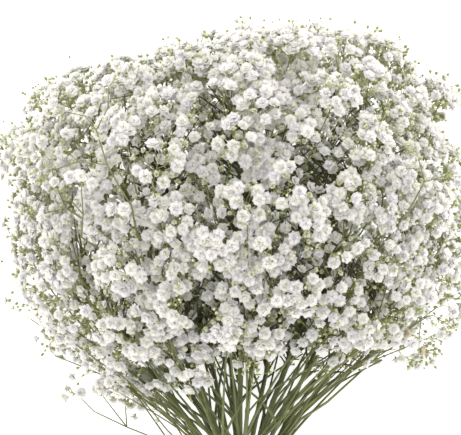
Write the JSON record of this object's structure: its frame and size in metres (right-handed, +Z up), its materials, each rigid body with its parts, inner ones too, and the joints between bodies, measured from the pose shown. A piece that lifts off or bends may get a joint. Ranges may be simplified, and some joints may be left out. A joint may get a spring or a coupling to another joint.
{
  "type": "gypsophila bunch",
  "caption": "Bunch of cut gypsophila stems in double white flower, held by an elastic band and laid on its side.",
  "frame": {"origin": "bottom centre of the whole bunch, on the table that it lies on", "axes": "+Y from the cut ends towards the flower head, +Z up from the table, +X across the bunch"},
  "size_m": [0.3122, 0.5094, 0.195],
  "materials": {
    "flowering_stem": "soft matte petals, off-white with a faint green-grey cast",
    "green_stem": "smooth satin green stems, twigs, calyxes and bract leaves",
    "flower_bud": "satin pale yellow-green closed buds",
    "elastic_band": "matte natural tan rubber"
  },
  "bodies": {
    "root": {"heart_stem": "flowering_stem", "inner_stem_1": "flowering_stem", "inner_stem_2": "flowering_stem", "inner_stem_3": "flowering_stem", "inner_stem_4": "flowering_stem", "inner_stem_5": "flowering_stem", "outer_stem_1": "flowering_stem", "outer_stem_2": "flowering_stem", "outer_stem_3": "flowering_stem", "outer_stem_4": "flowering_stem", "outer_stem_5": "flowering_stem", "outer_stem_6": "flowering_stem", "outer_stem_7": "flowering_stem", "outer_stem_8": "flowering_stem", "outer_stem_9": "flowering_stem", "outer_stem_10": "flowering_stem", "binding_band": "elastic_band"}
  },
  "joints": []
}
